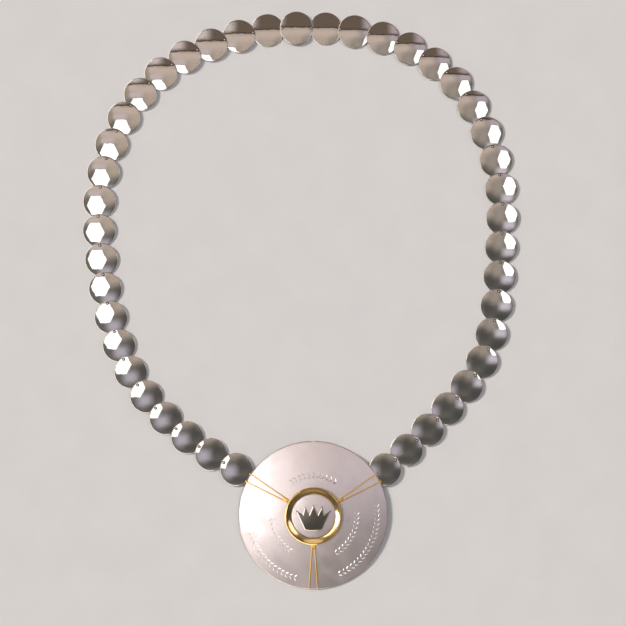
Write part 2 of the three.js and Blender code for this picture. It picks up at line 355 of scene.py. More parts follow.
bright_cut_silver, tree, shader = new_material("bright_cut_silver")
place = add_node(tree, "ShaderNodeTexCoord").outputs["Object"]
streak = add_node(
    tree, "ShaderNodeTexNoise", {"Vector": place, "Scale": per_mm(CUT_STREAK_MM), "Detail": 2.0}
)
rough = add_node(
    tree, "ShaderNodeMapRange", {"Value": streak.outputs["Fac"], "To Min": 0.22, "To Max": 0.4}
)
shader.inputs["Base Color"].default_value = linear("#f7f3f1")
tree.links.new(rough.outputs["Result"], shader.inputs["Roughness"])

# Painted shade: a dull, dark, mottled colour that stands for the shaded hole round each rivet
# head
painted_hole_shade, tree, shader = new_material("painted_hole_shade")
place = add_node(tree, "ShaderNodeTexCoord").outputs["Object"]
shade_mottle = add_node(
    tree, "ShaderNodeTexNoise", {"Vector": place, "Scale": per_mm(HOLE_SHADE_MOTTLE_MM), "Detail": 3.0}
)
colour = add_node(
    tree, "ShaderNodeMix",
    {"Factor": shade_mottle.outputs["Fac"], 6: linear("#2b241e"), 7: linear("#4d4136")},
    data_type="RGBA",
)
tree.links.new(colour.outputs[2], shader.inputs["Base Color"])
shader.inputs["Metallic"].default_value = 0.0
shader.inputs["Roughness"].default_value = 0.6
print("small finishes:", bright_cut_silver.name, painted_hole_shade.name)

# %% [markdown]
# ## From mesh to piece
#
# Each finished mesh becomes an object that rides on the model's one body, stands in for its
# plain node and says which finish it takes. Smooth shading would round off real edges too, so
# edges that turn by more than a set angle stay crisp.

# %% Make a piece of a mesh
CRISP_ANGLE = math.radians(24)


def shade(mesh):
    mesh.shade_smooth()
    mesh.set_sharp_from_angle(angle=CRISP_ANGLE)


def new_piece(name, bm, place, node, slot, *materials):
    """Moves a local mesh to its place in metres, hangs it on the body and hides its node."""
    bm.transform(place)
    bmesh.ops.recalc_face_normals(bm, faces=bm.faces)
    mesh = bpy.data.meshes.new(name)
    bm.to_mesh(mesh)
    bm.free()
    shade(mesh)
    for material in materials:
        mesh.materials.append(material)
    piece = bpy.data.objects.new(name, mesh)
    bpy.context.scene.collection.objects.link(piece)
    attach(piece, "root")
    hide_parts(node)
    return piece


def cut(piece, cutter):
    """Cuts a bmesh in metres out of a piece, as a saw or drill would."""
    bmesh.ops.recalc_face_normals(cutter, faces=cutter.faces)
    tool_mesh = bpy.data.meshes.new("tool")
    cutter.to_mesh(tool_mesh)
    cutter.free()
    tool = bpy.data.objects.new("tool", tool_mesh)
    bpy.context.scene.collection.objects.link(tool)
    modifier = piece.modifiers.new("cut", "BOOLEAN")
    modifier.object = tool
    modifier.solver = "EXACT"
    evaluated = piece.evaluated_get(bpy.context.evaluated_depsgraph_get())
    result = bpy.data.meshes.new_from_object(evaluated)
    piece.modifiers.clear()
    piece.data = result
    shade(result)
    bpy.data.objects.remove(tool)


print("edges sharper than", round(math.degrees(CRISP_ANGLE)), "degrees stay crisp")

# %% [markdown]
# ## Where the discs lie
#
# Each disc of the chain leans a little, its upper end on the disc before it. The lean could be
# worked out again here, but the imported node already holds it. The rim points of a round node
# are all equally far from one middle, so a least squares fit finds that middle, and the thin
# direction of the rim's points is the way the disc faces.

# %% Read the place of each disc
DISC_RADIUS = 12.5
DISC_SHEET = 0.7
DISC_RISE = 1.0
DISCS_PER_SIDE = 21


def round_place(node, radius, sheet):
    """The place, millimetres to metres, of a round node whose lower rim is at local z = 0."""
    points = np.array([v.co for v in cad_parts[node].data.vertices])
    points = np.unique(points.round(7), axis=0)
    middle = sum(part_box(node), Vector()) / 2
    away = np.hypot(points[:, 0] - middle.x, points[:, 1] - middle.y)
    rim = points[away > 0.99 * radius * MM]
    sphere = np.column_stack([2 * rim, np.ones(len(rim))])
    centre = np.linalg.lstsq(sphere, (rim**2).sum(axis=1), rcond=None)[0][:3]
    normal = Vector(np.linalg.svd(rim - centre)[2][2])
    if normal.z < 0:
        normal.negate()
    across = Vector((0, 1, 0)).cross(normal).normalized()
    turn = Matrix((across, normal.cross(across), normal)).transposed().to_4x4()
    low_rim = Vector(centre) - normal * sheet / 2 * MM
    return Matrix.Translation(low_rim) @ turn @ Matrix.Scale(MM, 4)


def side_nodes(side):
    return [f"disc_{side}_{i:02d}" for i in range(1, DISCS_PER_SIDE + 1)]


disc_nodes = ["disc_top", *side_nodes("left"), *side_nodes("right")]
disc_places = {node: round_place(node, DISC_RADIUS, DISC_SHEET) for node in disc_nodes}
leans = [math.degrees(disc_places[n].to_3x3().col[2].angle((0, 0, 1))) for n in disc_nodes]
print(len(disc_places), "discs lean by", round(min(leans), 1), "to", round(max(leans), 1))

# %% [markdown]
# ## Rivets
#
# A rivet stands on the lower end of each disc and comes up through the next one, where its end
# is hammered into a small round head. From above it is a dark ring with a bright middle. The
# dark ring is painted shade, a thin dark sheet round the head in place of the shadowed hole. The
# head could be a dot of colour, but a real head also catches light from the side. The node's own
# rivet gives the spot, and the head is seated on the dome that it comes through.

# %% Seat a rivet on the next disc
RIVET_RADIUS = 0.4
RIVET_LENGTH = 1.4
RIVET_HEAD_RADIUS = 0.6
RIVET_HEAD_HEIGHT = 0.4
# Size of the dark ring of painted shade round each rivet head
SHADE_RING_RADIUS = 1.25
SHADE_RING_HEIGHT = 0.06
RIVET_SEGMENTS = 24
HEAD_ABOVE_RIM = 2.0

rivet_profile = [
    (0, -RIVET_LENGTH, 0),
    (RIVET_RADIUS, -RIVET_LENGTH, 0),
    (RIVET_RADIUS, 0, 0),
    (RIVET_HEAD_RADIUS, 0, 0),
    (RIVET_HEAD_RADIUS, 0.2, 0.08),
    (RIVET_HEAD_RADIUS * 0.55, RIVET_HEAD_HEIGHT, 0.2),
    (0, RIVET_HEAD_HEIGHT, 0),
]
# A thin dark ring round the head, painted shade for the hole and the gap under the head
shade_ring_profile = [
    (RIVET_HEAD_RADIUS - 0.05, -0.1, 0),
    (SHADE_RING_RADIUS, -0.1, 0),
    (SHADE_RING_RADIUS, SHADE_RING_HEIGHT / 2, 0),
    (RIVET_HEAD_RADIUS - 0.05, SHADE_RING_HEIGHT, 0),
]


def dome_place(node, spot):
    """A place on the upper face of a disc, straight above or below a spot, facing outwards."""
    to_disc = disc_places[node].inverted()
    local = to_disc @ spot
    local.z = DISC_SHEET + DISC_RISE * (1 - local.xy.length_squared / DISC_RADIUS**2)
    slope = 2 * DISC_RISE / DISC_RADIUS**2
    facing = Vector((slope * local.x, slope * local.y, 1))
    turn = facing.to_track_quat("Z", "Y").to_matrix().to_4x4()
    return disc_places[node] @ Matrix.Translation(local) @ turn


def rivet_place(carrier, cover):
    """Where the rivet of one disc comes out of the disc that covers it."""
    to_disc = disc_places[carrier].inverted()
    points = [v.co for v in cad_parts[carrier].data.vertices]
    head = [p for p in points if (to_disc @ p).z > HEAD_ABOVE_RIM]
    middle = disc_places[cover].translation
    mine = [p for p in head if (p - middle).length < 1.2 * DISC_RADIUS * MM]
    return dome_place(cover, sum(mine, Vector()) / len(mine))


rivets = {node: [] for node in disc_nodes}
for side in ("left", "right"):
    run = side_nodes(side)
    rivets[run[0]].append(rivet_place(run[0], "disc_top"))
    for carrier, cover in zip(run, run[1:]):
        rivets[carrier].append(rivet_place(carrier, cover))
print("rivets:", sum(len(places) for places in rivets.values()))

# %% [markdown]
# ## Discs
#
# The real discs are pressed from thin sheet, so one profile serves them all: a shallow dome,
# the same dome underneath, and a rim that polishing has rounded. A sphere cut with a plane
# would be quicker, but it would have no thickness and no rim to catch the light. A value from
# 0 at the middle to 1 at the rim is kept on the points for the tarnish.

# %% Press the discs
DISC_SEGMENTS = 96
DISC_RINGS = 20
RIM_EASE = 0.45

disc_under = domed(DISC_RADIUS, DISC_RISE, 0, DISC_RADIUS - 0.8, DISC_RINGS // 2)
disc_over = domed(DISC_RADIUS, DISC_RISE, DISC_RADIUS - 0.8, 0, DISC_RINGS, DISC_SHEET)
disc_rim = [(DISC_RADIUS, 0, 0.15), (DISC_RADIUS, DISC_SHEET, RIM_EASE)]
disc_profile = disc_under + disc_rim + disc_over

discs = {}
for node in disc_nodes:
    bm = bmesh.new()
    rim_layer = bm.verts.layers.float.new("rim")
    turned(bm, disc_profile, DISC_SEGMENTS)
    for vert in bm.verts:
        vert[rim_layer] = vert.co.xy.length / DISC_RADIUS
    to_disc = disc_places[node].inverted()
    for spot in rivets[node]:
        turned(bm, rivet_profile, RIVET_SEGMENTS, to_disc @ spot)
        # The dark ring is painted shade of the hole round the rivet head
        ring = turned(bm, shade_ring_profile, RIVET_SEGMENTS, to_disc @ spot, closed=True)
        for face in {face for vert in ring for face in vert.link_faces}:
            face.material_index = 1
    place = disc_places[node]
    discs[node] = new_piece(
        f"silver_{node}", bm, place, node, "polished_silver", polished_silver, painted_hole_shade
    )
print("discs:", len(discs), "with", len(discs["disc_left_02"].data.polygons), "faces each")

# %% [markdown]
# ## Pendant plate
#
# The plate is one large sheet, raised to a low dome and flat in the middle, where the collar
# sits. It leans slightly, its upper rim on the last two discs. The same spin makes it. A short
# saw cut in the rim at twelve o'clock is cut out afterwards, as on the bench.

# %% Raise the plate and saw its rim
PLATE_RADIUS = 56.4
PLATE_SHEET = 1.0
PLATE_RISE = 4.4
SEAT_RADIUS = 21.9
PLATE_SEGMENTS = 192
CUT_WIDTH = 1.1
CUT_DEPTH = 2.4

pendant_place = round_place("plate", PLATE_RADIUS, PLATE_SHEET)
seat_height = PLATE_RISE * (1 - (SEAT_RADIUS / PLATE_RADIUS) ** 2)


def plate_top(radius):
    """Height of the plate's upper face above its lower rim."""
    return PLATE_SHEET + PLATE_RISE * (1 - (max(radius, SEAT_RADIUS) / PLATE_RADIUS) ** 2)


plate_edge = PLATE_RADIUS - 1.2
plate_under = domed(PLATE_RADIUS, PLATE_RISE, SEAT_RADIUS, plate_edge, 12)
plate_over = domed(PLATE_RADIUS, PLATE_RISE, plate_edge, SEAT_RADIUS, 30, PLATE_SHEET)
plate_rim = [(PLATE_RADIUS, 0, 0.25), (PLATE_RADIUS, PLATE_SHEET, 0.7)]
seat = [(0, seat_height, 0)], [(0, seat_height + PLATE_SHEET, 0)]

bm = bmesh.new()
rim_layer = bm.verts.layers.float.new("rim")
turned(bm, seat[0] + plate_under + plate_rim + plate_over + seat[1], PLATE_SEGMENTS)
for vert in bm.verts:
    vert[rim_layer] = vert.co.xy.length / PLATE_RADIUS
plate = new_piece(
    "pendant_plate", bm, pendant_place, "plate", "satin_silver", satin_silver, bright_cut_silver
)

saw = bmesh.new()
saw_size = Matrix.Diagonal((CUT_WIDTH, 2 * CUT_DEPTH, 4 * PLATE_SHEET, 1))
saw_place = pendant_place @ Matrix.Translation((0, PLATE_RADIUS, PLATE_SHEET / 2)) @ saw_size
bmesh.ops.create_cube(saw, size=1, matrix=saw_place)
cut(plate, saw)
lean = math.degrees(pendant_place.to_3x3().col[2].angle((0, 0, 1)))
print("plate:", len(plate.data.polygons), "faces, leaning by", round(lean, 2), "degrees")

# %% [markdown]
# ## Leaf border on the plate
#
# Three fields of the plate carry small decoration in curved rows. Here it is a plain border of
# leaves in pairs, as an engraver cuts them with two bright strokes each. A texture would stay
# flat from the side, so every leaf is a small form with two facets that meet in a ridge, and
# the facets take the bright-cut silver.

# %% Cut the leaves
LEAF_LENGTH = 3.3
LEAF_WIDTH = 1.15
LEAF_HEIGHT = 0.17
LEAF_STEP = 3.5
LEAF_SPLAY = math.radians(38)
LEAF_OUTLINE_STEPS = 6

# Radius of each row, then the angles where it starts and ends, from three o'clock
leaf_rows = [
    (30.5, 52, 128),
    (31.5, 180, 243),
    (49.0, 193, 257),
    (33.0, 297, 364),
    (48.5, 291, 371),
]


def leaf(bm, radius, angle, splay):
    """One leaf on the plate, its stem end on the row and its length splayed from the row."""
    stem = Vector((radius * math.cos(angle), radius * math.sin(angle)))
    along = Vector((-math.sin(angle + splay), math.cos(angle + splay)))
    aside = Vector((-along.y, along.x))
    rows = []
    for share, height in ((-0.5, -0.03), (0, LEAF_HEIGHT), (0.5, -0.03)):
        row = []
        for step in range(LEAF_OUTLINE_STEPS + 1):
            t = step / LEAF_OUTLINE_STEPS
            swell = math.sin(math.pi * t) ** 0.8
            flat = stem + along * LEAF_LENGTH * t + aside * LEAF_WIDTH * share * swell
            rise = height * swell if share == 0 else height
            local = Vector((*flat, plate_top(flat.length) + rise))
            row.append(bm.verts.new(pendant_place @ local))
        rows.append(row)
    for one, two in zip(rows, rows[1:]):
        for i in range(LEAF_OUTLINE_STEPS):
            face = bm.faces.new((one[i], two[i], two[i + 1], one[i + 1]))
            face.material_index = 1
            face.smooth = True


bm = bmesh.new()
bm.from_mesh(plate.data)
for radius, start, end in leaf_rows:
    count = int(math.radians(end - start) * radius / LEAF_STEP)
    for i in range(count):
        angle = math.radians(start) + (i + 0.5) * LEAF_STEP / radius
        leaf(bm, radius + 0.35, angle, -LEAF_SPLAY)
        leaf(bm, radius - 0.35, angle, LEAF_SPLAY)
leaf_faces = [f for f in bm.faces if f.material_index == 1]
for face in leaf_faces:
    face.normal_update()
    if face.normal.z < 0:
        face.normal_flip()
bm.to_mesh(plate.data)
bm.free()
shade(plate.data)
print("leaves:", len(leaf_faces) // (2 * LEAF_OUTLINE_STEPS))

# %% [markdown]
# ## Collar
#
# The collar is a heavy turned ring. Its upper face dips inwards, so it throws light back at
# the middle and mirrors the lamp of the other side. A torus would be rounder than the real
# one, so it is spun from its own section. Three notches in its foot take the wires.

# %% Turn the collar
COLLAR_OUTER = 21.8
COLLAR_INNER = 16.9
COLLAR_CREST = 20.9
COLLAR_HEIGHT = 2.7
COLLAR_SHOULDER = 2.2
COLLAR_DIP = 0.7
SEAT_GAP = 0.3
WIRE_RADIUS = 0.45
WIRE_START = 19.3
WIRE_ANGLES = {"left": 150, "right": 30, "bottom": -90}

seated = seat_height + PLATE_SHEET + SEAT_GAP
collar_profile = [
    (COLLAR_INNER, 0, 0),
    (COLLAR_OUTER, 0, 0.1),
    (COLLAR_OUTER, COLLAR_SHOULDER, 0.3),
    (COLLAR_CREST, COLLAR_HEIGHT, 0.3),
    (COLLAR_INNER, COLLAR_HEIGHT - COLLAR_DIP, 0.25),
]
bm = bmesh.new()
turned(bm, collar_profile, 160, closed=True)
seat_place = pendant_place @ Matrix.Translation((0, 0, seated))
collar = new_piece(
    "gilt_collar", bm, seat_place, "collar", "gilt_silver", gilt["gilt_silver_buffed"]
)

notches = bmesh.new()
notch_size = Matrix.Diagonal((6, 3, 2.4, 1))
for angle in WIRE_ANGLES.values():
    spin = Matrix.Rotation(math.radians(angle), 4, "Z")
    out = Matrix.Translation((WIRE_START + 1.5, 0, 0))
    bmesh.ops.create_cube(notches, size=1, matrix=seat_place @ spin @ out @ notch_size)
cut(collar, notches)
print("collar:", len(collar.data.polygons), "faces")

# %% [markdown]
# ## Centre disc
#
# Inside the collar lies a thick satin disc with a low dome, and a crisp edge that shows as a
# thin bright line. It is spun like the rest.

# %% Turn the centre disc
CENTRE_RADIUS = 16.6
CENTRE_EDGE = 1.3
CENTRE_RISE = 0.9


def centre_top(radius):
    """Height of the centre disc's upper face above its seat."""
    return CENTRE_EDGE + CENTRE_RISE * (1 - (radius / CENTRE_RADIUS) ** 2)


centre_over = domed(CENTRE_RADIUS, CENTRE_RISE, CENTRE_RADIUS - 0.9, 0, 20, CENTRE_EDGE)
centre_sides = [(0, 0, 0), (CENTRE_RADIUS, 0, 0.1), (CENTRE_RADIUS, CENTRE_EDGE, 0.4)]
bm = bmesh.new()
rim_layer = bm.verts.layers.float.new("rim")
turned(bm, centre_sides + centre_over, 128)
for vert in bm.verts:
    vert[rim_layer] = vert.co.xy.length / CENTRE_RADIUS
centre_disc = new_piece(
    "satin_centre_disc", bm, seat_place, "centre_disc", "satin_silver", satin_silver
)
print("centre disc:", len(centre_disc.data.polygons), "faces")

# %% [markdown]
# ## Crown
#
# A plain crown of five points is sawn from sheet, its edges filed to a bevel, and it stands
# just off the centre disc and follows its dome. Extruding the outline and adding a bevel
# modifier would leave one flat face. A triangulation through the outline, a second outline one
# bevel further in and a grid of inner points lets the face bend with the dome.

# %% Saw the crown
CROWN_SHEET = 0.8
CROWN_BEVEL = 0.75
CROWN_BEVEL_DROP = 0.5
CROWN_GRID = 1.3
crown_half = [(0, 8.9), (3.3, 1.1), (6.5, 7.7), (8.1, 1.1), (13.4, 4.6), (6.6, -10.4)]
crown_foot = [(3.3, -10.92), (0, -11.1), (-3.3, -10.92)]

crown_outline = [Vector(p) for p in crown_half + crown_foot]
crown_outline += [Vector((-x, y)) for x, y in reversed(crown_half[1:])]


def inset(outline, depth):
    """The outline moved inwards, for one that runs clockwise."""
    moved = []
    for i, corner in enumerate(outline):
        arrive = (corner - outline[i - 1]).normalized()
        leave = (outline[(i + 1) % len(outline)] - corner).normalized()
        inward = Vector((arrive.y, -arrive.x)) + Vector((leave.y, -leave.x))
        moved.append(corner + inward * depth / (1 + arrive.dot(leave)))
    return moved


bevel_line = inset(crown_outline, CROWN_BEVEL)
corner_count = len(crown_outline)
print("crown outline:", corner_count, "corners, bevel", CROWN_BEVEL, "mm")

# %% Bend the crown to the dome
EDGE_STEP = 1.0


def divided(outline, counts):
    """The outline with each edge divided into its own number of equal steps."""
    points = []
    for i, count in enumerate(counts):
        start, end = outline[i], outline[(i + 1) % len(outline)]
        points += [start.lerp(end, step / count) for step in range(count)]
    return points


def inside(point, outline):
    """True if a ray to the right crosses the outline an odd number of times."""
    odd = False
    for a, b in zip(outline, outline[1:] + outline[:1]):
        if (a.y > point.y) != (b.y > point.y):
            odd ^= point.x < a.x + (point.y - a.y) / (b.y - a.y) * (b.x - a.x)
    return odd


ends = zip(crown_outline, crown_outline[1:] + crown_outline[:1])
counts = [max(1, round((b - a).length / EDGE_STEP)) for a, b in ends]
outer = divided(crown_outline, counts)
inner = divided(bevel_line, counts)
core = inset(crown_outline, 1.5 * CROWN_BEVEL)
steps = np.arange(-13.5, 13.6, CROWN_GRID)
grid = [p for p in (Vector((x, y)) for x in steps for y in steps) if inside(p, core)]
total = len(outer)
loops = [(s + i, s + (i + 1) % total) for s in (0, total) for i in range(total)]
flat, _, triangles, origin, _, _ = delaunay_2d_cdt(outer + inner + grid, loops, [], 1, 1e-5)

bm = bmesh.new()
tops, feet = [], []
for point, sources in zip(flat, origin):
    foot = centre_top(point.length) + SEAT_GAP
    bevelled = CROWN_BEVEL_DROP if sources and sources[0] < total else 0
    tops.append(bm.verts.new((*point, foot + CROWN_SHEET - bevelled)))
    feet.append(bm.verts.new((*point, foot)))
for triangle in triangles:
    bm.faces.new([tops[i] for i in triangle])
    bm.faces.new([feet[i] for i in reversed(triangle)])
walls = {sources[0]: i for i, sources in enumerate(origin) if sources and sources[0] < total}
for i in range(total):
    a, b = walls[i], walls[(i + 1) % total]
    bm.faces.new((tops[a], tops[b], feet[b], feet[a]))
crown = new_piece("raised_crown", bm, seat_place, "crown", "burnished_silver", burnished_silver)
print("crown:", len(crown.data.polygons), "faces on", len(grid), "inner points")

# %% [markdown]
# ## Gilt wires
#
# Three hairpins of gilt wire run from the collar to the rim. The left and right ones go on
# over the rim, down through the last disc and across under it, and so they carry the chain.
# Each route is a list of points, and a curve with a round bevel gives it its thickness. Where
# the legs meet the collar, and where they pass the rim, solder has run into small beads.

# %% Routes of the wires
WIRE_LIFT = 0.03
WIRE_SPREAD_AT_COLLAR = 0.75
WIRE_SPREAD_AT_RIM = 3.2
WIRE_RIM_STOP = 55.6
WIRE_BEND = 1.0
WIRE_DROP = 57.5
WIRE_LOW = -2.0
LEG_STEPS = 24
BEND_STEPS = 8


def quarter_turn():
    return [math.pi / 2 * step / BEND_STEPS for step in range(BEND_STEPS + 1)]


def wire_leg(sign):
    """One leg on the plate, from the collar out to the rim."""
    points = []
    for t in np.linspace(0, 1, LEG_STEPS):
        out = WIRE_START + (WIRE_RIM_STOP - WIRE_START) * t
        aside = WIRE_SPREAD_AT_COLLAR + (WIRE_SPREAD_AT_RIM - WIRE_SPREAD_AT_COLLAR) * t
        height = plate_top(math.hypot(out, aside)) + WIRE_LIFT + WIRE_RADIUS
        points.append(Vector((out, sign * aside, height)))
    return points


def over_rim(sign):
    """From the collar over the rim, down, and half way across under the last disc."""
    points = wire_leg(sign)
    level = points[-1].z - 0.15
    for turn in quarter_turn():
        out = WIRE_DROP + WIRE_BEND * (math.sin(turn) - 1)
        height = level + WIRE_BEND * (math.cos(turn) - 1)
        points.append(Vector((out, sign * WIRE_SPREAD_AT_RIM, height)))
    for turn in quarter_turn():
        aside = WIRE_SPREAD_AT_RIM + WIRE_BEND * (math.cos(turn) - 1)
        height = WIRE_LOW + WIRE_BEND * (1 - math.sin(turn))
        points.append(Vector((WIRE_DROP, sign * aside, height)))
    return points


def to_rim():
    """Both legs that end on the rim, joined by a half turn inside the collar."""
    level = wire_leg(1)[0].z
    bend = []
    for turn in np.linspace(math.pi / 2, -math.pi / 2, 2 * BEND_STEPS)[1:-1]:
        out = WIRE_START - WIRE_SPREAD_AT_COLLAR * math.cos(turn)
        bend.append(Vector((out, WIRE_SPREAD_AT_COLLAR * math.sin(turn), level)))
    return wire_leg(1)[::-1] + bend + wire_leg(-1)


around = over_rim(1) + over_rim(-1)[::-1]
wire_routes = {"left": around, "right": around, "bottom": to_rim()}
print("points along a wire:", {side: len(route) for side, route in wire_routes.items()})

# %% Draw the wires and their solder
SOLDER_AT_COLLAR = (23.0, 0, (3.3, 1.5, 0.85))
SOLDER_AT_RIM = (56.6, WIRE_SPREAD_AT_RIM, (1.1, 0.9, 0.75))


def drawn(route):
    """A mesh of round wire along a route, in the pendant's own millimetres."""
    curve = bpy.data.curves.new("route", "CURVE")
    curve.dimensions = "3D"
    curve.bevel_depth = WIRE_RADIUS
    curve.bevel_resolution = 3
    curve.use_fill_caps = True
    spline = curve.splines.new("POLY")
    spline.points.add(len(route) - 1)
    for point, spot in zip(spline.points, route):
        point.co = (*spot, 1)
    holder = bpy.data.objects.new("route", curve)
    mesh = bpy.data.meshes.new_from_object(holder)
    bpy.data.objects.remove(holder)
    return mesh


def bead(bm, out, aside, size):
    """A bead of solder that has run on the plate round a spot."""
    height = plate_top(math.hypot(out, aside))
    place = Matrix.Translation((out, aside, height)) @ Matrix.Diagonal((*size, 1))
    bmesh.ops.create_uvsphere(bm, u_segments=24, v_segments=14, radius=1, matrix=place)


wires = {}
for side, route in wire_routes.items():
    bm = bmesh.new()
    bm.from_mesh(drawn(route))
    out, aside, size = SOLDER_AT_COLLAR
    bead(bm, out, aside, size)
    if side != "bottom":
        out, aside, size = SOLDER_AT_RIM
        bead(bm, out, aside, size)
        bead(bm, out, -aside, size)
    spin = Matrix.Rotation(math.radians(WIRE_ANGLES[side]), 4, "Z")
    place = pendant_place @ spin
    wires[side] = new_piece(
        f"gilt_wire_{side}", bm, place, f"wire_{side}", "gilt_silver", gilt["gilt_wire_drawn"]
    )
print("wires:", {side: len(wire.data.polygons) for side, wire in wires.items()})

# %% [markdown]
# ## Holes for the wires
#
# The wires of the two sides pass down through the last disc, so each of these two discs is
# drilled twice, straight below the bends.

# %% Drill the last discs
DRILL_RADIUS = 0.75
DRILL_REACH = 6.0

for side in ("left", "right"):
    spin = Matrix.Rotation(math.radians(WIRE_ANGLES[side]), 4, "Z")
    drills = bmesh.new()
    for sign in (1, -1):
        spot = Matrix.Translation((WIRE_DROP, sign * WIRE_SPREAD_AT_RIM, -1))
        bmesh.ops.create_cone(
            drills, segments=20, radius1=DRILL_RADIUS, radius2=DRILL_RADIUS, depth=DRILL_REACH,
            cap_ends=True, matrix=pendant_place @ spin @ spot,
        )
    cut(discs[f"disc_{side}_{DISCS_PER_SIDE}"], drills)
print("last discs drilled for wire of", 2 * WIRE_RADIUS, "mm")

# %% [markdown]
# ## Table
#
# The chain lies on a plain pale table top. It is a stage piece, so it is no part of the object.
# A faint mottle keeps it from looking like an empty background.

# %% A pale table top
TABLE_SIZE = 6.0

table_material, tree, shader = new_material("pale_board_matt")
place = add_node(tree, "ShaderNodeTexCoord").outputs["Object"]
mottle = add_node(
    tree, "ShaderNodeTexNoise", {"Vector": place, "Scale": per_mm(30), "Detail": 5.0}
)
colour = add_node(
    tree, "ShaderNodeMix",
    {"Factor": mottle.outputs["Fac"], 6: linear("#d9d8d8"), 7: linear("#cfced0")},
    data_type="RGBA",
)
tree.links.new(colour.outputs[2], shader.inputs["Base Color"])
shader.inputs["Metallic"].default_value = 0.0
shader.inputs["Roughness"].default_value = 0.85
bm = bmesh.new()
bmesh.ops.create_grid(bm, x_segments=1, y_segments=1, size=TABLE_SIZE / 2)
table_mesh = bpy.data.meshes.new("table_top")
bm.to_mesh(table_mesh)
bm.free()
table_mesh.materials.append(table_material)
table = bpy.data.objects.new("table_top", table_mesh)
table.location.z = -0.05 * MM
bpy.context.scene.collection.objects.link(table)
print("table top:", TABLE_SIZE, "m wide")

# %% [markdown]
# ## What the silver sees
#
# Polished silver shows the room, so the room is lit with care. A board hangs over the table,
# painted in soft patches of the warm greys, beiges and lilacs of a studio, and one dark batten
# runs across it. Two six-sided soft lamps hang below it. They are only there for reflections:
# hidden from the camera and from the table, they leave the plain light on the table to two
# other lamps. Turning each patch into a picture would be quicker, but patches stay editable.

# %% The board over the table
BOARD_HEIGHT = 700
BOARD_HALF = 900
BOARD_COLOUR = "#6a6561"

# Middle x and y, half width and depth, softness across and along, in millimetres, and colour
patches = [
    (-50, 90, 150, 120, 110, 100, "#b7a89b"),
    (-80, 240, 330, 80, 130, 70, "#c8b6aa"),
    (-380, 270, 90, 60, 60, 40, "#cab9b0"),
    (370, 270, 110, 60, 50, 50, "#b5a9b1"),
    (-310, 150, 120, 50, 60, 40, "#cabbb8"),
    (-470, 170, 40, 110, 40, 60, "#a49584"),
    (70, -130, 110, 110, 90, 90, "#53514d"),
    (180, 60, 80, 120, 60, 80, "#9e948b"),
    (-150, -240, 100, 90, 80, 70, "#b6b0ba"),
    (30, -370, 140, 60, 90, 50, "#555350"),
    (10, -510, 110, 45, 60, 35, "#afa89b"),
    (290, -290, 120, 90, 80, 70, "#4c4c4a"),
    (330, -100, 90, 60, 60, 45, "#cdc7d2"),
    (20, 525, 500, 200, 140, 5, "#6b5c51"),
    (-380, 430, 150, 80, 90, 30, "#d1c4bf"),
    (370, 420, 90, 80, 70, 30, "#b2a1a4"),
    (0, 318, 480, 9, 60, 4, "#3a2f27"),
]


def glow_only(thing):
    """Leaves a thing in reflections and takes it out of every other view."""
    thing.visible_camera = False
    thing.visible_diffuse = False
    thing.visible_transmission = False
    thing.visible_shadow = False


board_material = bpy.data.materials.new("painted_board")
board_material.use_nodes = True
tree = board_material.node_tree
tree.nodes.clear()
place = add_node(tree, "ShaderNodeTexCoord").outputs["Object"]
spot = add_node(tree, "ShaderNodeSeparateXYZ", {"Vector": place}).outputs
paint = linear(BOARD_COLOUR)
for x, y, half_x, half_y, soft_x, soft_y, colour in patches:
    covers = []
    for axis, middle, half, soft in (("X", x, half_x, soft_x), ("Y", y, half_y, soft_y)):
        from_middle = {0: spot[axis], 1: middle * MM}
        away = add_node(tree, "ShaderNodeMath", from_middle, operation="SUBTRACT")
        away = add_node(tree, "ShaderNodeMath", {0: away.outputs[0]}, operation="ABSOLUTE")
        edge = {"From Min": (half - soft) * MM, "From Max": (half + soft) * MM}
        level = {"Value": away.outputs[0], "To Min": 1.0, "To Max": 0.0}
        covers.append(
            add_node(
                tree, "ShaderNodeMapRange", {**level, **edge}, interpolation_type="SMOOTHSTEP"
            )
        )
    cover = add_node(
        tree, "ShaderNodeMath", {i: c.outputs["Result"] for i, c in enumerate(covers)},
        operation="MULTIPLY",
    )
    paint = add_node(
        tree, "ShaderNodeMix", {"Factor": cover.outputs[0], 6: paint, 7: linear(colour)},
        data_type="RGBA",
    ).outputs[2]
glow = add_node(tree, "ShaderNodeEmission", {"Color": paint, "Strength": 1.0})
add_node(tree, "ShaderNodeOutputMaterial", {"Surface": glow.outputs["Emission"]})

bm = bmesh.new()
bmesh.ops.create_grid(bm, x_segments=1, y_segments=1, size=BOARD_HALF * MM)
board_mesh = bpy.data.meshes.new("painted_board")
bm.to_mesh(board_mesh)
bm.free()
board_mesh.materials.append(board_material)
board = bpy.data.objects.new("painted_board", board_mesh)
board.location.z = (BOARD_HEIGHT + 20) * MM
bpy.context.scene.collection.objects.link(board)
glow_only(board)
print("board with", len(patches), "patches and", len(tree.nodes), "nodes")

# %% Two soft lamps in the reflections
LAMP_STRENGTH = 1.8
soft_lamps = {"left": (-280, -40, 142, 142), "right": (352, 85, 100, 132)}

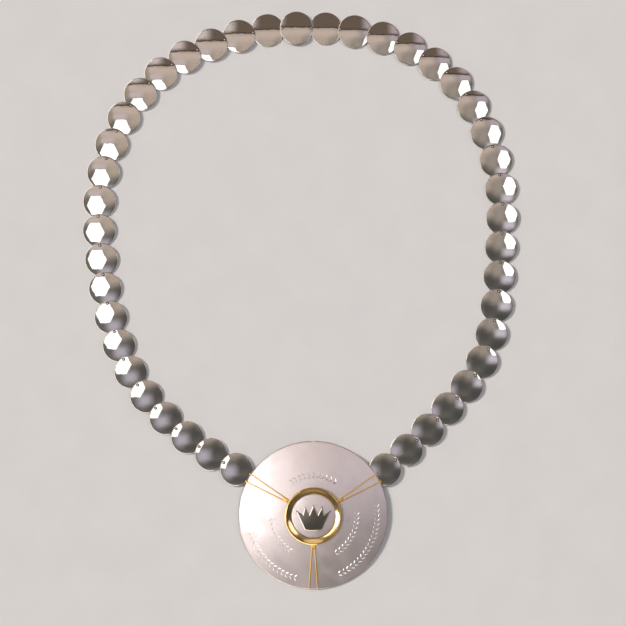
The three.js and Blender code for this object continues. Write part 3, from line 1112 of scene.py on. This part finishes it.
lamp_material = bpy.data.materials.new("lamp_cloth")
lamp_material.use_nodes = True
tree = lamp_material.node_tree
tree.nodes.clear()
glow = add_node(
    tree, "ShaderNodeEmission", {"Color": linear("#fffaf5"), "Strength": LAMP_STRENGTH}
)
add_node(tree, "ShaderNodeOutputMaterial", {"Surface": glow.outputs["Emission"]})
for side, (x, y, half_x, half_y) in soft_lamps.items():
    bm = bmesh.new()
    size = Matrix.Diagonal((half_x * MM, half_y * MM * 2 / math.sqrt(3), 1, 1))
    flat_top = size @ Matrix.Rotation(math.radians(30), 4, "Z")
    bmesh.ops.create_circle(bm, cap_ends=True, segments=6, radius=1, matrix=flat_top)
    lamp_mesh = bpy.data.meshes.new(f"soft_lamp_{side}")
    bm.to_mesh(lamp_mesh)
    bm.free()
    lamp_mesh.materials.append(lamp_material)
    lamp = bpy.data.objects.new(f"soft_lamp_{side}", lamp_mesh)
    lamp.location = (x * MM, y * MM, BOARD_HEIGHT * MM)
    bpy.context.scene.collection.objects.link(lamp)
    glow_only(lamp)
print("soft lamps:", ", ".join(soft_lamps))

# %% [markdown]
# ## A screen for the edges
#
# Rounded rims and the bevels of the crown look far out to the side, past the board. A curved
# pale screen stands there, left of the table and towards its lower end, and draws the thin
# bright line along those edges. A brighter room would do it too, but it would wash out the rest.

# %% A pale screen at the left, for the edges
SCREEN_STRENGTH = 2.4
SCREEN_AWAY = 1.2
SCREEN_LOW = 0.15
SCREEN_HIGH = 0.75
SCREEN_ANGLES = range(125, 276, 10)  # Degrees from the right, anticlockwise from above

screen_material = bpy.data.materials.new("pale_screen")
screen_material.use_nodes = True
tree = screen_material.node_tree
tree.nodes.clear()
glow = add_node(
    tree, "ShaderNodeEmission", {"Color": linear("#fff6ea"), "Strength": SCREEN_STRENGTH}
)
add_node(tree, "ShaderNodeOutputMaterial", {"Surface": glow.outputs["Emission"]})
bm = bmesh.new()
low, high = [], []
for angle in SCREEN_ANGLES:
    out = Matrix.Rotation(math.radians(angle), 4, "Z") @ Vector((SCREEN_AWAY, 0, 0))
    low.append(bm.verts.new(out + Vector((0, 0, SCREEN_LOW))))
    high.append(bm.verts.new(out + Vector((0, 0, SCREEN_HIGH))))
for i in range(len(low) - 1):
    bm.faces.new((low[i], low[i + 1], high[i + 1], high[i]))
screen_mesh = bpy.data.meshes.new("pale_screen")
bm.to_mesh(screen_mesh)
bm.free()
screen_mesh.materials.append(screen_material)
screen = bpy.data.objects.new("pale_screen", screen_mesh)
bpy.context.scene.collection.objects.link(screen)
glow_only(screen)
print("screen:", SCREEN_STRENGTH, "times as bright as white paint")

# %% [markdown]
# ## Light for the pendant
#
# Satin silver gathers light from a wide angle, so it needs stronger lamps than the mirrors.
# Light linking lets a lamp shine on chosen pieces only: the pendant gets its own lamps, and the
# discs keep clean reflections. Two at the left give the plate its white glow, two at the right
# a cooler tone, and a small one in front lights the lower arc of the collar.

# %% Lamps for the pendant alone
pendant_group = bpy.data.collections.new("pendant_pieces")
for piece in (plate, collar, centre_disc, *wires.values()):
    pendant_group.objects.link(piece)
# Place and width in metres, power in watts, and colour
pendant_lamps = {
    "left_high": ((-0.28, -0.01, 0.70), 0.28, 1.1, "#fffaf6"),
    "left_low": ((-0.35, -0.21, 0.70), 0.30, 2.0, "#fffaf8"),
    "right_high": ((0.37, 0.095, 0.70), 0.22, 0.36, "#f6eef4"),
    "right_low": ((0.25, -0.14, 0.70), 0.18, 0.15, "#ece6ff"),
    "front": ((0.01, -0.053, 0.70), 0.16, 0.044, "#fff6e8"),
}
for side, (spot, size, power, colour) in pendant_lamps.items():
    light = bpy.data.lights.new(f"pendant_lamp_{side}", "AREA")
    light.shape = "DISK"
    light.size = size
    light.energy = power
    light.color = linear(colour)[:3]
    lamp = bpy.data.objects.new(f"pendant_lamp_{side}", light)
    lamp.location = spot
    lamp.light_linking.receiver_collection = pendant_group
    bpy.context.scene.collection.objects.link(lamp)
print("lamps that light only the pendant:", len(pendant_lamps))

# %% [markdown]
# ## Light on the table, and the room
#
# A lamp low at the upper left gives each piece a soft shadow on the table, and a broad one at
# the right fills it. Both are far off, so the table is lit evenly. They stay out of reflections,
# which the painted board takes care of. The room round the table is a plain light grey that gets
# a little darker overhead. Edges of the metal mirror it.

# %% Table lamps and room
# The way to the lamp, its width in degrees, its light in watts per square metre, and colour
table_lamps = {
    "left": ((-2.0, 1.1, 1.4), 13, 3.4, "#fff8f0"),
    "right": ((1.0, 0.75, 1.6), 25, 0.8, "#f6f6ff"),
}
for side, (spot, width, power, colour) in table_lamps.items():
    light = bpy.data.lights.new(f"table_lamp_{side}", "SUN")
    light.angle = math.radians(width)
    light.energy = power
    light.color = linear(colour)[:3]
    lamp = bpy.data.objects.new(f"table_lamp_{side}", light)
    lamp.location = spot
    lamp.rotation_euler = (-Vector(spot)).to_track_quat("-Z", "Y").to_euler()
    lamp.visible_glossy = False
    bpy.context.scene.collection.objects.link(lamp)

room = bpy.data.worlds.new("plain_room")
room.use_nodes = True
tree = room.node_tree
tree.nodes.clear()
look = add_node(tree, "ShaderNodeTexCoord").outputs["Generated"]
up = add_node(tree, "ShaderNodeSeparateXYZ", {"Vector": look}).outputs["Z"]
height = add_node(tree, "ShaderNodeMapRange", {"Value": up, "From Min": 0.25, "From Max": 0.7})
colour = add_node(
    tree, "ShaderNodeMix",
    {"Factor": height.outputs["Result"], 6: linear("#d2cdc8"), 7: linear("#8a8580")},
    data_type="RGBA",
)
sky = add_node(tree, "ShaderNodeBackground", {"Color": colour.outputs[2], "Strength": 0.75})
add_node(tree, "ShaderNodeOutputWorld", {"Surface": sky.outputs["Background"]})
bpy.context.scene.world = room
bpy.context.scene.view_settings.view_transform = "Standard"
print("table lamps:", len(table_lamps))

# %% [markdown]
# ## Camera
#
# The camera looks straight down from 1.6 m. The lens is worked out from the width of table
# that has to fill the square picture.

# %% Camera straight down
CAMERA_HEIGHT = 1600
VIEW_WIDTH = 474.3
VIEW_MIDDLE = (9.3, -9.4)
SENSOR = 36.0

camera_data = bpy.data.cameras.new("camera")
camera_data.sensor_width = SENSOR
camera_data.lens = SENSOR * CAMERA_HEIGHT / VIEW_WIDTH
camera = bpy.data.objects.new("camera", camera_data)
camera.location = (VIEW_MIDDLE[0] * MM, VIEW_MIDDLE[1] * MM, CAMERA_HEIGHT * MM)
bpy.context.scene.collection.objects.link(camera)
bpy.context.scene.camera = camera
print("lens:", round(camera_data.lens, 1), "mm")
